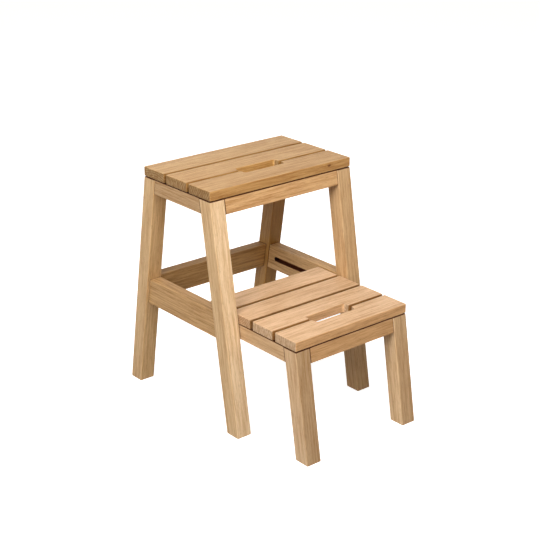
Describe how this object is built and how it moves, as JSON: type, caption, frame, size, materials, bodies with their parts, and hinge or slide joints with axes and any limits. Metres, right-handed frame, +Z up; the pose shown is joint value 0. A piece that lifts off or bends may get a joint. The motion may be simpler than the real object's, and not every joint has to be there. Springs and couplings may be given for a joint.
{
  "type": "step stool",
  "caption": "Wooden step stool on splayed legs, with a slatted seat and a slatted lower step that slides in under it; both treads have a hand hole.",
  "frame": {"origin": "on the floor, at the centre of the footprint with the lower step pulled out", "axes": "+X along the slats, +Y to the back of the stool, +Z up"},
  "size_m": [0.343, 0.5144, 0.47],
  "materials": {
    "seat_wood": "satin oiled hardwood",
    "leg_wood": "satin oiled hardwood",
    "rail_wood": "satin oiled hardwood",
    "step_wood": "satin oiled hardwood",
    "cleat_wood": "plain sawn hardwood",
    "guide_wood": "waxed dark hardwood",
    "screw_steel": "zinc-plated"
  },
  "bodies": {
    "seat_frame": {"leg_front_left": "leg_wood", "leg_front_right": "leg_wood", "leg_back_left": "leg_wood", "leg_back_right": "leg_wood", "seat_apron_front": "seat_wood", "seat_apron_back": "seat_wood", "seat_apron_left": "seat_wood", "seat_apron_right": "seat_wood", "side_rail_left": "rail_wood", "side_rail_right": "rail_wood", "back_rail": "rail_wood", "seat_slat_front": "seat_wood", "seat_slat_middle": "seat_wood", "seat_slat_back": "seat_wood", "seat_cleat_left": "cleat_wood", "seat_cleat_right": "cleat_wood", "seat_slat_screw_left_1": "screw_steel", "seat_slat_screw_left_2": "screw_steel", "seat_slat_screw_left_3": "screw_steel", "seat_cleat_screw_left_1": "screw_steel", "seat_cleat_screw_left_2": "screw_steel", "seat_slat_screw_right_1": "screw_steel", "seat_slat_screw_right_2": "screw_steel", "seat_slat_screw_right_3": "screw_steel", "seat_cleat_screw_right_1": "screw_steel", "seat_cleat_screw_right_2": "screw_steel"},
    "lower_step": {"step_leg_left": "leg_wood", "step_leg_right": "leg_wood", "step_apron_front": "step_wood", "step_apron_left": "step_wood", "step_apron_right": "step_wood", "step_rail_back": "step_wood", "step_slat_1": "step_wood", "step_slat_2": "step_wood", "step_slat_3": "step_wood", "step_slat_4": "step_wood", "step_cleat_left": "cleat_wood", "step_cleat_right": "cleat_wood", "guide_block_left": "guide_wood", "guide_block_right": "guide_wood", "guide_screw_left": "screw_steel", "step_slat_screw_left_1": "screw_steel", "step_slat_screw_left_2": "screw_steel", "step_slat_screw_left_3": "screw_steel", "step_slat_screw_left_4": "screw_steel", "step_cleat_screw_left_1": "screw_steel", "step_cleat_screw_left_2": "screw_steel", "guide_screw_right": "screw_steel", "step_slat_screw_right_1": "screw_steel", "step_slat_screw_right_2": "screw_steel", "step_slat_screw_right_3": "screw_steel", "step_slat_screw_right_4": "screw_steel", "step_cleat_screw_right_1": "screw_steel", "step_cleat_screw_right_2": "screw_steel"}
  },
  "joints": [
    {"name": "step_slide", "type": "slide", "parent": "seat_frame", "child": "lower_step", "axis": [0, 1, 0], "range_m": [0, 0.16]}
  ]
}
